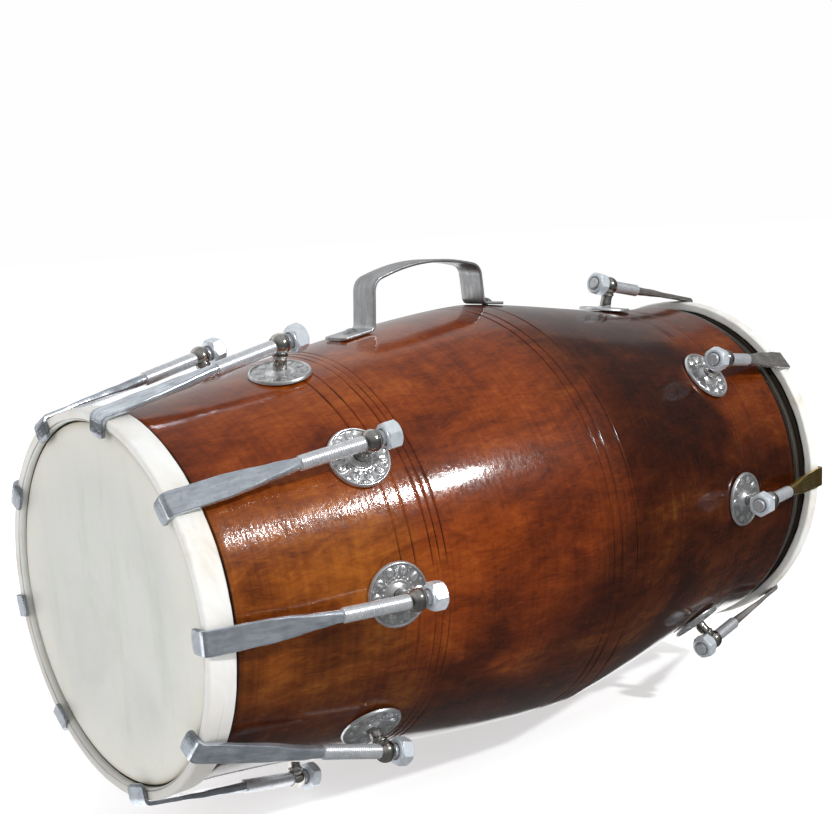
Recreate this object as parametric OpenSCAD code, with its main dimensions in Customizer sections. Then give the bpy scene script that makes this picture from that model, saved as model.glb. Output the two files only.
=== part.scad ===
// Two-headed barrel hand drum with bolt-tuned heads (dholak).
// The drum lies along X: the small treble head faces -X, the large bass head faces +X,
// and the carrying handle is on top. The origin lies under the middle of the drum, at its lowest point.
// Every size is in millimetres.

/* [Drum] */
// Length over both counter hoops
drum_length = 450; // [430:1:480]
// Outer radius of the treble counter hoop
treble_hoop_r = 97.5; // [92:0.5:104]
// Outer radius of the bass counter hoop
bass_hoop_r = 111.5; // [106:0.5:118]
// Width of the treble counter hoop along the drum
treble_hoop_w = 15; // [13:0.5:18]
// Width of the bass counter hoop along the drum
bass_hoop_w = 8.5; // [7.5:0.5:9]
// How far the heads sit inside the front of the hoops
head_recess = 3; // [2:0.5:4]

/* [Shell] */
// Radius of the turned crease round the belly
belly_r = 125.5; // [121:0.5:130]
// Distance of the crease from the treble hoop's front
crease_x = 254.5; // [245:0.5:265]
// How much the treble side swells past a straight cone
treble_swell = 4.5; // [2:0.5:7]
// How far that swelling moves towards the crease
treble_swell_shift = 16; // [8:1:20]
// How much the bass side dips under a straight cone
bass_dip = 10; // [4:0.5:12]
// How far that dip moves towards the bass head
bass_dip_shift = 14; // [6:1:18]
// Wall thickness at the belly
belly_wall = 13; // [11:0.5:16]
// Wall thickness at the ends, behind the heads' steps
end_wall = 15; // [13:0.5:17]
// Open step between treble hoop and shell shoulder
treble_gap = 1.6; // [1:0.2:4]
// Open step between bass hoop and shell shoulder
bass_gap = 11.5; // [10:0.5:12]
// Depth of the turned decorative lines
groove_depth = 0.6; // [0.3:0.1:0.9]

/* [Heads] */
// Thickness of the treble hide
treble_skin_t = 1.1; // [0.8:0.1:1.4]
// Thickness of the bass hide
bass_skin_t = 1.4; // [1:0.1:1.6]
// Radius of the tuning paste inside the bass hide
paste_r = 42; // [30:1:55]

/* [Tuning hardware] */
// Distance of the treble washers from the treble hoop's front
treble_seat = 100; // [94:0.5:106]
// Distance of the bass washers from the bass hoop's front
bass_seat = 82.4; // [78:0.2:90]
// Height of the eye balls over their washers
eye_height = 14.4; // [13:0.2:17]
// Lean of the treble eye bolts towards their head
treble_lean = 0.8; // [0:0.2:3]
// Lean of the bass eye bolts towards their head
bass_lean = 4.4; // [2:0.2:6]
// Radius of the eye balls
eye_ball_r = 5.8; // [5.5:0.1:6.2]
// Radius of the embossed washers
washer_r = 16.4; // [14:0.1:17]
// Petals embossed on each washer
washer_petals = 10; // [6:1:12]
// Radius of the hook rods
rod_r = 3.8; // [3.4:0.1:3.9]
// Width of the flat hook straps
strap_w = 12; // [11:0.5:14]
// Thickness of the flat hook straps
strap_t = 2.2; // [1.8:0.1:2.6]
// Length of the claw over the hoop
claw_drop = 8; // [6:0.5:9]
// Radius of the tuning nuts across their corners
nut_r = 7.5; // [7:0.1:8.2]
// Height of the tuning nuts
nut_h = 8.4; // [7:0.2:10]

/* [Carrying handle] */
// Width of the handle strap
handle_w = 19; // [16:0.5:22]
// Thickness of the handle strap
handle_t = 1.8; // [1.5:0.1:2.4]
// Height of the handle's bass-side shoulder over the drum axis
handle_top = 148.5; // [144:0.5:155]
// How much lower its treble-side shoulder is
handle_slant = 3.5; // [0:0.5:5]

/* [Hidden] */
$fn = 96;
// angles of the hooks: 0 faces -Y, 90 is the top under the handle, 180 faces +Y
treble_angles = [116, 78, 38.5, 1, -43, -87, -130, -170, 151];
bass_angles = [88, 41, 0, -49, -95, -138, 180, 134];
// two lower treble hooks lean, so their claws sit further round the hoop than their eye bolts
treble_claws = [116, 78, 38.5, 1, -32.5, -77, -130, -170, 151];
bass_claws = bass_angles;
axis_h = 136.84;
// shoulders and grooves
shell_lines = [104.5, 112, 121.5, 125.5, 129.5, 236, 242, 369, 372.5, 388, 392];
hoop_in = 5.5;
step_in = 9.4;
corner_r = 1.5;
gap = 0.3;
run = 0.05;
treble_shoulder = treble_hoop_w + treble_gap;
bass_shoulder = drum_length - bass_hoop_w - bass_gap;
handle_left = 174.5;
handle_right = 255.5;
screw_left = 163.5;
screw_right = 265.5;

// ---------- shell profile ----------
function lerp(a, b, t) = a + (b - a) * t;
function curve(a, b, swell, shift, t) = lerp(a, b, t) + t * (1 - t) * (swell + shift * (2 * t - 1));
function shell_r(x) = x < crease_x
    ? curve(treble_hoop_r - 2, belly_r, treble_swell, treble_swell_shift, (x - treble_shoulder) / (crease_x - treble_shoulder))
    : curve(bass_hoop_r - 2, belly_r, -bass_dip, bass_dip_shift, (bass_shoulder - x) / (bass_shoulder - crease_x));
function wall_at(x) = belly_wall + (end_wall - belly_wall) * abs(x - crease_x) / (x < crease_x ? crease_x : drum_length - crease_x);
function bore_r(x) = shell_r(x) - wall_at(x);
function steps(a, b, n) = [for (i = [0:n]) lerp(a, b, i / n)];

// ---------- positions at the two ends: e = 0 treble, e = 1 bass, s = distance in from that end ----------
function hoop_r(e) = e == 0 ? treble_hoop_r : bass_hoop_r;
function hoop_w(e) = e == 0 ? treble_hoop_w : bass_hoop_w;
// the hide's lap behind the hoop's flange
function lap_top(e) = min(8, hoop_w(e) - 1);
function lap_end(e) = e == 0 ? hoop_w(0) - 1.3 : lap_top(1) + 5.2;
function skin_t(e) = e == 0 ? treble_skin_t : bass_skin_t;
function seat_s(e) = e == 0 ? treble_seat : bass_seat;
function at_x(e, s) = e == 0 ? s : drum_length - s;
// the shell is hollow along the drum under the bass washers, so they touch it at their rims
function seat_gap(e) = e == 0 ? 0.1 : 0.35;
function seat_r(e) = shell_r(at_x(e, seat_s(e))) + seat_gap(e);
function seat_slope(e) = atan(shell_r(at_x(e, seat_s(e) + 0.5)) - shell_r(at_x(e, seat_s(e) - 0.5)));
function ball_s(e) = seat_s(e) - (e == 0 ? treble_lean : bass_lean);
function ball_r(e) = seat_r(e) + 1 + eye_height;
function post_turn(e) = atan2(seat_s(e) - ball_s(e), 1 + eye_height);
function post_len(e) = norm([seat_s(e) - ball_s(e), 1 + eye_height]);
// hook k at end e: its eye ball in the frame of its claw, and how far its claw stands off the hoop if it leans
strap_off = corner_r + gap + strap_t / 2;
function bolt_angle(e, k) = e == 0 ? treble_angles[k - 1] : bass_angles[k - 1];
function claw_angle(e, k) = e == 0 ? treble_claws[k - 1] : bass_claws[k - 1];
function lean(e, k) = (e == 0 ? 1 : -1) * (claw_angle(e, k) - bolt_angle(e, k));
function claw_s(e, k) = corner_r - (abs(lean(e, k)) > 2 ? 1.45 : 0);
function ball_at(e, k) = [ball_r(e) * cos(lean(e, k)), ball_r(e) * sin(lean(e, k)), ball_s(e)];
function rod_skew(e, k) = round(100 * atan2(ball_at(e, k)[1], ball_s(e) - claw_s(e, k))) / 100;
function ball_run(e, k) = norm([ball_at(e, k)[1], ball_s(e) - claw_s(e, k)]);
function ball_rise(e, k) = ball_at(e, k)[0] - hoop_r(e) + corner_r;
// the strap passes the hoop's rounded front corner at the distance strap_off
function corner_dist(e, k) = norm([ball_rise(e, k), ball_run(e, k)]);
function rod_tilt(e, k) = round(100 * (atan2(ball_rise(e, k), ball_run(e, k)) - asin(strap_off / corner_dist(e, k)))) / 100;
function rod_reach(e, k) = sqrt(corner_dist(e, k) * corner_dist(e, k) - strap_off * strap_off);
function thread_len(e) = e == 0 ? 38 : 27;

module drum_frame() translate([-drum_length / 2, 0, axis_h]) rotate([0, 90, 0]) children();
module end_frame(e) drum_frame() translate([0, 0, e * drum_length]) rotate([e * 180, 0, 0]) children();
// local x points out of the drum at this angle, local z runs in from the end
module spot(e, angle) drum_frame() rotate([0, 0, -(angle + 90)]) translate([0, 0, e * drum_length]) rotate([e * 180, 0, 0]) children();
// origin in the ball, z out along the eye bolt
module post_frame(e) translate([ball_r(e), 0, ball_s(e)]) rotate([0, 90 + post_turn(e), 0]) children();
// origin in the ball, z along the rod towards the nut
module rod_frame(e, k) spot(e, claw_angle(e, k)) translate(ball_at(e, k)) rotate([-rod_skew(e, k), 0, 0]) rotate([0, rod_tilt(e, k), 0]) children();
// flat on the shell at distance s, z out of the shell
module seat_frame(e, s) translate([shell_r(at_x(e, s)) + seat_gap(e), 0, s])
    rotate([0, 90 + atan(shell_r(at_x(e, s + 0.5)) - shell_r(at_x(e, s - 0.5))), 0]) children();
// stands a side view up: 2D x along the drum, 2D y outwards
module side_view(w) rotate([-90, -90, 0]) linear_extrude(w, center = true) children();

// ---------- wooden shell ----------
module shell_section() {
    a = treble_shoulder;
    b = bass_shoulder;
    r1 = treble_hoop_r - step_in;
    r2 = bass_hoop_r - step_in;
    s1 = head_recess + treble_skin_t;
    s2 = drum_length - head_recess - bass_skin_t;
    difference() {
        polygon(concat(
            [[bore_r(a), s1], [r1 - 2.4, s1], [r1 - 0.8, s1 + 0.5], [r1, s1 + 1.8], [r1, a]],
            [[shell_r(a) - 1, a], [shell_r(a + 1), a + 1]],
            [for (x = steps(a + 6, crease_x, 22)) [shell_r(x), x]],
            [for (x = steps(crease_x + 6, b - 6, 18)) [shell_r(x), x]],
            [[shell_r(b - 1), b - 1], [shell_r(b) - 1, b]],
            [[r2, b], [r2, s2 - 1.8], [r2 - 0.8, s2 - 0.5], [r2 - 2.4, s2], [bore_r(b), s2]],
            [for (x = steps(b, crease_x, 8)) [bore_r(x), x]],
            [for (x = steps(crease_x - 24, a, 8)) [bore_r(x), x]]
        ));
        for (x = shell_lines) translate([shell_r(x) + 0.9 - groove_depth, x]) circle(r = 0.9, $fn = 32);
        translate([belly_r + 1.1 - groove_depth, crease_x - 1]) circle(r = 1.1, $fn = 32);
    }
}

module shell() color("#9a4e14") difference() {
    drum_frame() rotate_extrude($fn = 180) shell_section();
    for (t = treble_angles) spot(0, t) post_frame(0) translate([0, 0, -post_len(0) - 30]) cylinder(r = 3.3, h = 32);
    for (t = bass_angles) spot(1, t) post_frame(1) translate([0, 0, -post_len(1) - 30]) cylinder(r = 3.3, h = 32);
    for (s = [screw_left, screw_right]) spot(0, 90) seat_frame(0, s) translate([0, 0, -11.5]) cylinder(r = 1.9, h = 15);
}

// ---------- heads ----------
module skin(e) {
    t = skin_t(e);
    a = hoop_r(e) - step_in + 0.05;
    b = a + t;
    c = b + 1.2;
    d = c + 1;
    w = lap_end(e);
    g = lap_top(e);
    p = head_recess;
    end_frame(e) rotate_extrude($fn = 144) polygon([
        [0, p], [a - 1.6, p], [b - 0.8, p + 0.4], [b, p + 1.8], [b, w - 1], [c, w - 1], [c, g], [d, g], [d, w],
        [a, w], [a, p + t + 1.5], [a - 0.6, p + t + 0.4], [a - 2, p + t], [0, p + t]]);
}
module flesh_hoop(e) {
    b = hoop_r(e) - step_in + 0.05 + skin_t(e);
    end_frame(e) rotate_extrude($fn = 144) translate([b, lap_top(e)]) square([1.2, lap_end(e) - 1 - lap_top(e)]);
}
module counter_hoop(e) {
    r = hoop_r(e);
    w = hoop_w(e);
    b = r - step_in + 0.05 + skin_t(e);
    end_frame(e) rotate_extrude($fn = 144) union() {
        translate([r - hoop_in, 1]) square([hoop_in - 1, w - 2]);
        translate([b + 0.3, lap_top(e) - 2.3]) square([r - hoop_in - b - 0.3 + 0.5, 2.3]);
    }
}
module hoop_wrap(e) {
    r = hoop_r(e);
    w = hoop_w(e);
    end_frame(e) rotate_extrude($fn = 144) difference() {
        union() {
            translate([r - hoop_in, 0]) square([hoop_in - corner_r, w]);
            translate([r - corner_r, corner_r]) square([corner_r, w - 2 * corner_r]);
            for (s = [corner_r, w - corner_r]) translate([r - corner_r, s]) circle(r = corner_r, $fn = 48);
        }
        translate([r - hoop_in - 1, 1]) square([hoop_in, w - 2]);
    }
}

module treble_skin() color("#d9d6c4") skin(0);
module treble_flesh_hoop() color("#6c6f72") flesh_hoop(0);
module treble_counter_hoop() color("#55585b") counter_hoop(0);
module treble_hoop_wrap() color("#efeade") hoop_wrap(0);
module bass_skin() color("#d2cbb4") skin(1);
module bass_flesh_hoop() color("#6c6f72") flesh_hoop(1);
module bass_counter_hoop() color("#55585b") counter_hoop(1);
module bass_hoop_wrap() color("#efeade") hoop_wrap(1);
module bass_tuning_paste() color("#2a2320") end_frame(1) translate([0, 0, head_recess + bass_skin_t])
    rotate_extrude() polygon([[0, 0], [paste_r, 0], [paste_r - 1.5, 1.2], [paste_r * 0.7, 2.6], [paste_r * 0.35, 3.6], [0, 3.9]]);

// ---------- eye bolts, washers and inner nuts ----------
module eye_bolt(e, k) difference() {
    spot(e, bolt_angle(e, k)) post_frame(e) union() {
        sphere(r = eye_ball_r);
        translate([0, 0, -post_len(e) - belly_wall - 14]) cylinder(r = 3.2, h = post_len(e) + belly_wall + 14);
    }
    rod_frame(e, k) translate([0, 0, -12]) cylinder(r = rod_r + run, h = 24);
}
module washer(e) difference() {
    seat_frame(e, seat_s(e)) union() {
        cylinder(r = washer_r, h = 1.2);
        difference() {
            cylinder(r = washer_r, h = 1.8);
            translate([0, 0, -1]) cylinder(r = washer_r - 1.2, h = 4);
        }
        difference() {
            cylinder(r = 8.4, h = 1.7);
            translate([0, 0, -1]) cylinder(r = 7.6, h = 4);
        }
        cylinder(r1 = 6.2, r2 = 5, h = 2.6);
        for (i = [0:washer_petals - 1]) rotate([0, 0, 360 * i / washer_petals])
            translate([11.8, 0, 0]) cylinder(r = 2.1, h = 1.7, $fn = 24);
    }
    post_frame(e) translate([0, 0, -post_len(e) - 6]) cylinder(r = 3.3, h = 12);
}
function inner_at(e) = post_len(e) + 1.6 + wall_at(at_x(e, seat_s(e))) + 1.4;
module inner_washer(e) post_frame(e) translate([0, 0, -inner_at(e) - 1.5]) difference() {
    cylinder(r = 9, h = 1.5);
    translate([0, 0, -1]) cylinder(r = 3.3, h = 4);
}
module inner_nut(e) post_frame(e) translate([0, 0, -inner_at(e) - 6.5]) difference() {
    cylinder(r = 5.77, h = 5, $fn = 6);
    translate([0, 0, -1]) cylinder(r = 3.2 + run, h = 7);
}

module treble_eye_bolts() color("#a9adb0") for (k = [1:len(treble_angles)]) eye_bolt(0, k);
module bass_eye_bolts() color("#a9adb0") for (k = [1:len(bass_angles)]) eye_bolt(1, k);
module treble_washers() color("#c3c8c6") for (t = treble_angles) spot(0, t) washer(0);
module bass_washers() color("#c3c8c6") for (t = bass_angles) spot(1, t) washer(1);
module inner_washers() color("#9aa0a4") {
    for (t = treble_angles) spot(0, t) inner_washer(0);
    for (t = bass_angles) spot(1, t) inner_washer(1);
}
module inner_nuts() color("#8d9296") {
    for (t = treble_angles) spot(0, t) inner_nut(0);
    for (t = bass_angles) spot(1, t) inner_nut(1);
}

// ---------- hooks and tuning nuts ----------
module hook(e, k) {
    ri = corner_r + gap;
    ro = ri + strap_t;
    tilt = rod_tilt(e, k);
    neck = rod_reach(e, k) - thread_len(e);
    // the taper's sides, carried on to 1 mm past the strap's edges
    taper = neck * 0.45 - (neck * 0.55 - 3) / (strap_w / 2 - 2.9);
    rod_frame(e, k) translate([-strap_off, 0, -rod_reach(e, k)]) {
        // flat strap, its bend over the hoop's corner and the claw in front of the hoop
        rotate([0, -tilt, 0]) intersection() {
            side_view(strap_w) difference() {
                union() {
                    circle(r = ro + 0.02);
                    rotate(tilt) square([neck - 3, ro]);
                    translate([-ro, -claw_drop]) square([ro, claw_drop]);
                }
                circle(r = ri + 0.02);
                rotate(tilt) translate([0, -9]) square([neck, 9 + ri]);
                translate([-ri, -claw_drop - 1]) square([9, claw_drop + 1]);
            }
            union() {
                rotate([0, tilt, 0]) translate([-2, 0, 0]) rotate([90, 0, 90]) linear_extrude(9) polygon([
                    [-strap_w / 2 - 1, -2], [strap_w / 2 + 1, -2], [strap_w / 2 + 1, taper],
                    [2.9, neck - 3], [-2.9, neck - 3], [-strap_w / 2 - 1, taper]]);
                translate([0, 0, -6]) linear_extrude(6) union() {
                    translate([3 - claw_drop, -strap_w / 2 - 1]) square([claw_drop + 3, strap_w + 2]);
                    translate([-claw_drop - 1, 3 - strap_w / 2]) square([claw_drop + 1, strap_w - 6]);
                    for (y = [-1, 1]) translate([3 - claw_drop, y * (strap_w / 2 - 3)]) circle(r = 3, $fn = 36);
                }
            }
        }
        translate([strap_off, 0, neck - 11]) sphere(r = 3.2);
        translate([strap_off, 0, neck - 11]) cylinder(r = 3.2, h = 11);
        // threaded rod through the eye and the nut
        translate([strap_off, 0, neck - 1]) cylinder(r = rod_r, h = thread_len(e) + eye_ball_r + gap + nut_h + 2.6);
    }
}
module tuning_nut(e, k) rod_frame(e, k) translate([0, 0, eye_ball_r + gap]) difference() {
    intersection() {
        cylinder(r = nut_r, h = nut_h, $fn = 6);
        union() {
            cylinder(r1 = nut_r - 1.3, r2 = nut_r, h = 1);
            translate([0, 0, 1]) cylinder(r = nut_r, h = nut_h - 2);
            translate([0, 0, nut_h - 1]) cylinder(r1 = nut_r, r2 = nut_r - 1.3, h = 1);
        }
    }
    translate([0, 0, -1]) cylinder(r = rod_r + run, h = nut_h + 2);
}
module treble_hook(k) color("#b9c2c8") hook(0, k);
module treble_nut(k) color("#b3b7b9") tuning_nut(0, k);
module bass_hook(k) color("#b9c2c8") hook(1, k);
module bass_nut(k) color("#b3b7b9") tuning_nut(1, k);

// ---------- carrying handle ----------
function unit(v) = v / norm(v);
function soften(p, d) = concat([p[0]],
    [for (i = [1:len(p) - 2]) let (a = p[i] + unit(p[i - 1] - p[i]) * d[i], c = p[i] + unit(p[i + 1] - p[i]) * d[i])
        for (k = [0:8]) let (t = k / 8) a * (1 - t) * (1 - t) + p[i] * 2 * t * (1 - t) + c * t * t],
    [p[len(p) - 1]]);
function side_of(p, i) = let (v = unit(p[min(i + 1, len(p) - 1)] - p[max(i - 1, 0)])) [-v[1], v[0]];
function ribbon(p, t) = concat([for (i = [0:len(p) - 1]) p[i] + side_of(p, i) * t / 2],
    [for (i = [len(p) - 1:-1:0]) p[i] - side_of(p, i) * t / 2]);
function foot_at(s, x) = let (k = shell_r(s + 0.5) - shell_r(s - 0.5)) shell_r(s) + 0.1 + handle_t / 2 * sqrt(1 + k * k) + k * (x - s);
handle_line = soften([
    [handle_left - 23, foot_at(screw_left, handle_left - 23)],
    [handle_left - 1, foot_at(screw_left, handle_left - 1)],
    [handle_left + 1, handle_top - handle_slant],
    [(handle_left + handle_right) / 2, handle_top - handle_slant / 2 + 10],
    [handle_right - 1, handle_top],
    [handle_right + 1, foot_at(screw_right, handle_right + 1)],
    [handle_right + 18, foot_at(screw_right, handle_right + 18)]],
    [0, 3, 6, 30, 6, 3, 0]);

module carry_handle() color("#aeb4b6") difference() {
    spot(0, 90) side_view(handle_w) polygon(ribbon(handle_line, handle_t));
    for (s = [screw_left, screw_right]) spot(0, 90) seat_frame(0, s) translate([0, 0, -2]) cylinder(r = 2.2, h = 8);
}
module handle_screws() color("#8f9496") for (s = [screw_left, screw_right]) spot(0, 90) seat_frame(0, s) union() {
    translate([0, 0, -11]) cylinder(r = 1.9, h = 13);
    difference() {
        translate([0, 0, handle_t]) intersection() {
            translate([0, 0, -3.2]) sphere(r = 5.4);
            cylinder(r = 6, h = 4);
        }
        translate([0, 0, handle_t + 2.6]) cube([9, 0.9, 1.8], center = true);
    }
}

// ---------- which piece to build ----------
shell();
treble_skin();
treble_flesh_hoop();
treble_counter_hoop();
treble_hoop_wrap();
bass_skin();
bass_flesh_hoop();
bass_counter_hoop();
bass_hoop_wrap();
bass_tuning_paste();
treble_eye_bolts();
bass_eye_bolts();
treble_washers();
bass_washers();
inner_washers();
inner_nuts();
carry_handle();
handle_screws();
treble_hook(1);  // treble_hook_1
treble_hook(2);  // treble_hook_2
treble_hook(3);  // treble_hook_3
treble_hook(4);  // treble_hook_4
treble_hook(5);  // treble_hook_5
treble_hook(6);  // treble_hook_6
treble_hook(7);  // treble_hook_7
treble_hook(8);  // treble_hook_8
treble_hook(9);  // treble_hook_9
treble_nut(1);  // treble_nut_1
treble_nut(2);  // treble_nut_2
treble_nut(3);  // treble_nut_3
treble_nut(4);  // treble_nut_4
treble_nut(5);  // treble_nut_5
treble_nut(6);  // treble_nut_6
treble_nut(7);  // treble_nut_7
treble_nut(8);  // treble_nut_8
treble_nut(9);  // treble_nut_9
bass_hook(1);  // bass_hook_1
bass_hook(2);  // bass_hook_2
bass_hook(3);  // bass_hook_3
bass_hook(4);  // bass_hook_4
bass_hook(5);  // bass_hook_5
bass_hook(6);  // bass_hook_6
bass_hook(7);  // bass_hook_7
bass_hook(8);  // bass_hook_8
bass_nut(1);  // bass_nut_1
bass_nut(2);  // bass_nut_2
bass_nut(3);  // bass_nut_3
bass_nut(4);  // bass_nut_4
bass_nut(5);  // bass_nut_5
bass_nut(6);  // bass_nut_6
bass_nut(7);  // bass_nut_7
bass_nut(8);  // bass_nut_8
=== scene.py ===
import math

import bpy
import numpy as np
from mathutils import Matrix, Vector


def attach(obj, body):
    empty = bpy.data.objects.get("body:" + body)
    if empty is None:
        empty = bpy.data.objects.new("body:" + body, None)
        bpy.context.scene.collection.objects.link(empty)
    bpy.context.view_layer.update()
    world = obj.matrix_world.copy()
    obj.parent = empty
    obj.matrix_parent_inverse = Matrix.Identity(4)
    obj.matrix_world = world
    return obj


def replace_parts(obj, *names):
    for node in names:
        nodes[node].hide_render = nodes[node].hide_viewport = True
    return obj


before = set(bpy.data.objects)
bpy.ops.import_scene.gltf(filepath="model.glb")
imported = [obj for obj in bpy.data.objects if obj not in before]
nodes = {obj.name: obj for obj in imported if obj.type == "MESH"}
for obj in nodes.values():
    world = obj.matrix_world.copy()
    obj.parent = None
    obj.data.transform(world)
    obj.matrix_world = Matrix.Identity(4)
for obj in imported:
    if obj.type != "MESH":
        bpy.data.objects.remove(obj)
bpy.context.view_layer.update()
scene = bpy.context.scene
MM = 0.001

# ---------------------------------------------------------------- sizes, as in part.scad, in millimetres
L, H = 450.0, 136.84
HOOP_R, HOOP_W = (97.5, 111.5), (15.0, 8.5)
LAP_TOP, LAP_END, SEAT_GAP = (8.0, 7.5), (13.7, 12.7), (0.1, 0.35)
RECESS, SKIN_T = 3.0, (1.1, 1.4)
BELLY, CREASE = 125.5, 254.5
A, B = 16.6, 430.0
LINES = [104.5, 112, 121.5, 125.5, 129.5, 236, 242, 369, 372.5, 388, 392]
STEP_IN, CORNER, GAP, RUN = 9.4, 1.5, 0.3, 0.05
SEAT, LEAN, EYE = (100.0, 82.4), (0.8, 4.4), 14.4
BALL_R, WASHER_R, ROD_R, STRAP_W, STRAP_T, DROP = 5.8, 16.4, 3.8, 12.0, 2.2, 8.0
NUT_R, NUT_H = 7.5, 8.4
ANGLES = ([116, 78, 38.5, 1, -43, -87, -130, -170, 151], [88, 41, 0, -49, -95, -138, 180, 134])
CLAWS = ([116, 78, 38.5, 1, -32.5, -77, -130, -170, 151], [88, 41, 0, -49, -95, -138, 180, 134])
THREAD = (38.0, 27.0)
OFF = CORNER + GAP + STRAP_T / 2
ENDS = ("treble", "bass")


def curve(a, b, swell, shift, t):
    return a + (b - a) * t + t * (1 - t) * (swell + shift * (2 * t - 1))


def shell_r(x):
    if x < CREASE:
        return curve(HOOP_R[0] - 2, BELLY, 4.5, 16, (x - A) / (CREASE - A))
    return curve(HOOP_R[1] - 2, BELLY, -10, 14, (B - x) / (B - CREASE))


def wall_at(x):
    return 13 + 2 * abs(x - CREASE) / (CREASE if x < CREASE else L - CREASE)


def at_x(e, s):
    return s if e == 0 else L - s


seat_r = [shell_r(at_x(e, SEAT[e])) + SEAT_GAP[e] for e in (0, 1)]
ball_s = [SEAT[e] - LEAN[e] for e in (0, 1)]
ball_r = [seat_r[e] + 1 + EYE for e in (0, 1)]
post_turn = [math.atan2(SEAT[e] - ball_s[e], 1 + EYE) for e in (0, 1)]
post_len = [math.hypot(SEAT[e] - ball_s[e], 1 + EYE) for e in (0, 1)]


def spot(e, angle):
    """Columns: out of the drum, sideways, in from that end; and the origin at that end on the axis."""
    t = math.radians(angle)
    x = np.array([0.0, -math.cos(t), math.sin(t)])
    z = np.array([1.0 if e == 0 else -1.0, 0.0, 0.0])
    return np.stack([x, np.cross(z, x), z], 1), np.array([-L / 2 if e == 0 else L / 2, 0.0, H])


def turn_y(a):
    c, s = math.cos(a), math.sin(a)
    return np.array([[c, 0, s], [0, 1, 0], [-s, 0, c]])


def turn_x(a):
    c, s = math.cos(a), math.sin(a)
    return np.array([[1, 0, 0], [0, c, -s], [0, s, c]])


def post_frame(e, angle):
    R, O = spot(e, angle)
    return R @ turn_y(math.pi / 2 + post_turn[e]), O + R @ np.array([ball_r[e], 0, ball_s[e]])


def seat_frame(e, angle, s):
    R, O = spot(e, angle)
    slope = math.atan(shell_r(at_x(e, s + 0.5)) - shell_r(at_x(e, s - 0.5)))
    return R @ turn_y(math.pi / 2 + slope), O + R @ np.array([shell_r(at_x(e, s)) + SEAT_GAP[e], 0, s])


def rod_frame(e, k):
    """Origin in the eye ball, z along the rod towards the nut, x away from the drum; and the reach and tilt."""
    lean = (1 if e == 0 else -1) * (CLAWS[e][k] - ANGLES[e][k])
    cs = CORNER - (1.45 if abs(lean) > 2 else 0)
    ball = np.array([ball_r[e] * math.cos(math.radians(lean)), ball_r[e] * math.sin(math.radians(lean)), ball_s[e]])
    run, rise = math.hypot(ball[1], ball[2] - cs), ball[0] - HOOP_R[e] + CORNER
    skew = math.atan2(ball[1], ball[2] - cs)
    dist = math.hypot(run, rise)
    tilt = math.atan2(rise, run) - math.asin(OFF / dist)
    R, O = spot(e, CLAWS[e][k])
    return R @ turn_x(-skew) @ turn_y(tilt), O + R @ ball, math.sqrt(dist * dist - OFF * OFF), tilt


# ---------------------------------------------------------------- mesh helpers
def wave(p, seed, size, octaves=3, gain=0.5):
    """Smooth noise in about -1..1 at points p (n, 3), with features of about that size."""
    rng = np.random.default_rng(seed)
    out, amp, total = np.zeros(len(p)), 1.0, 0.0
    for o in range(octaves):
        for _ in range(7):
            d = rng.normal(size=3)
            d /= np.linalg.norm(d)
            f = (0.6 + 0.9 * rng.random()) * 2 * math.pi / size * 2 ** o
            out += amp / 7 ** 0.5 * np.sin(p @ d * f + rng.random() * 6.283)
        total += amp
        amp *= gain
    return out / total


class Build:
    """Collects closed solids into one mesh, with a place in the piece's own frame kept for its material."""

    def __init__(self):
        self.V, self.F, self.P, self.M, self.n = [], [], [], [], 0

    def add(self, V, F, place=None, mask=None):
        V = np.asarray(V, float)
        tri = []
        for f in F:
            for i in range(1, len(f) - 1):
                tri.append((f[0], f[i], f[i + 1]))
        t = V[np.array(tri)]
        if np.einsum("ij,ij->i", t[:, 0], np.cross(t[:, 1], t[:, 2])).sum() < 0:
            F = [tuple(reversed(f)) for f in F]
        self.V.append(V)
        self.F += [tuple(i + self.n for i in f) for f in F]
        self.P.append(V if place is None else np.asarray(place, float))
        self.M.append(np.zeros(len(V)) if mask is None else np.asarray(mask, float))
        self.n += len(V)

    def object(self, name, sharp=32):
        me = bpy.data.meshes.new(name)
        me.from_pydata((np.concatenate(self.V) * MM).tolist(), [], self.F)
        me.polygons.foreach_set("use_smooth", [True] * len(me.polygons))
        a = me.attributes.new("place", "FLOAT_VECTOR", "POINT")
        a.data.foreach_set("vector", (np.concatenate(self.P)).astype(np.float32).ravel())
        a = me.attributes.new("mask", "FLOAT", "POINT")
        a.data.foreach_set("value", (np.concatenate(self.M)).astype(np.float32))
        if sharp:
            me.set_sharp_from_angle(angle=math.radians(sharp))
        me.update()
        ob = bpy.data.objects.new(name, me)
        scene.collection.objects.link(ob)
        return ob


def grid(rows, cols, ring=False):
    """Quads of a grid whose columns close on themselves, and whose rows do too if ring."""
    i = np.arange(rows if ring else rows - 1)[:, None]
    j = np.arange(cols)[None, :]
    a, b = i * cols + j, i * cols + (j + 1) % cols
    c, d = ((i + 1) % rows) * cols + (j + 1) % cols, ((i + 1) % rows) * cols + j
    return [tuple(q) for q in np.stack([a, b, c, d], -1).reshape(-1, 4).tolist()]


def tube(rings, ends=(True, True)):
    """Vertices and faces of stacked rings (n, m, 3), closed at its ends by a fan."""
    rings = np.asarray(rings, float)
    n, m = rings.shape[:2]
    V, F = rings.reshape(-1, 3), grid(n, m)
    for end, row in ((0, 0), (1, n - 1)):
        if ends[end]:
            V = np.concatenate([V, rings[row].mean(0)[None]])
            c = len(V) - 1
            F += [(row * m + j, row * m + (j + 1) % m, c) for j in range(m)]
    return V, F


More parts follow.
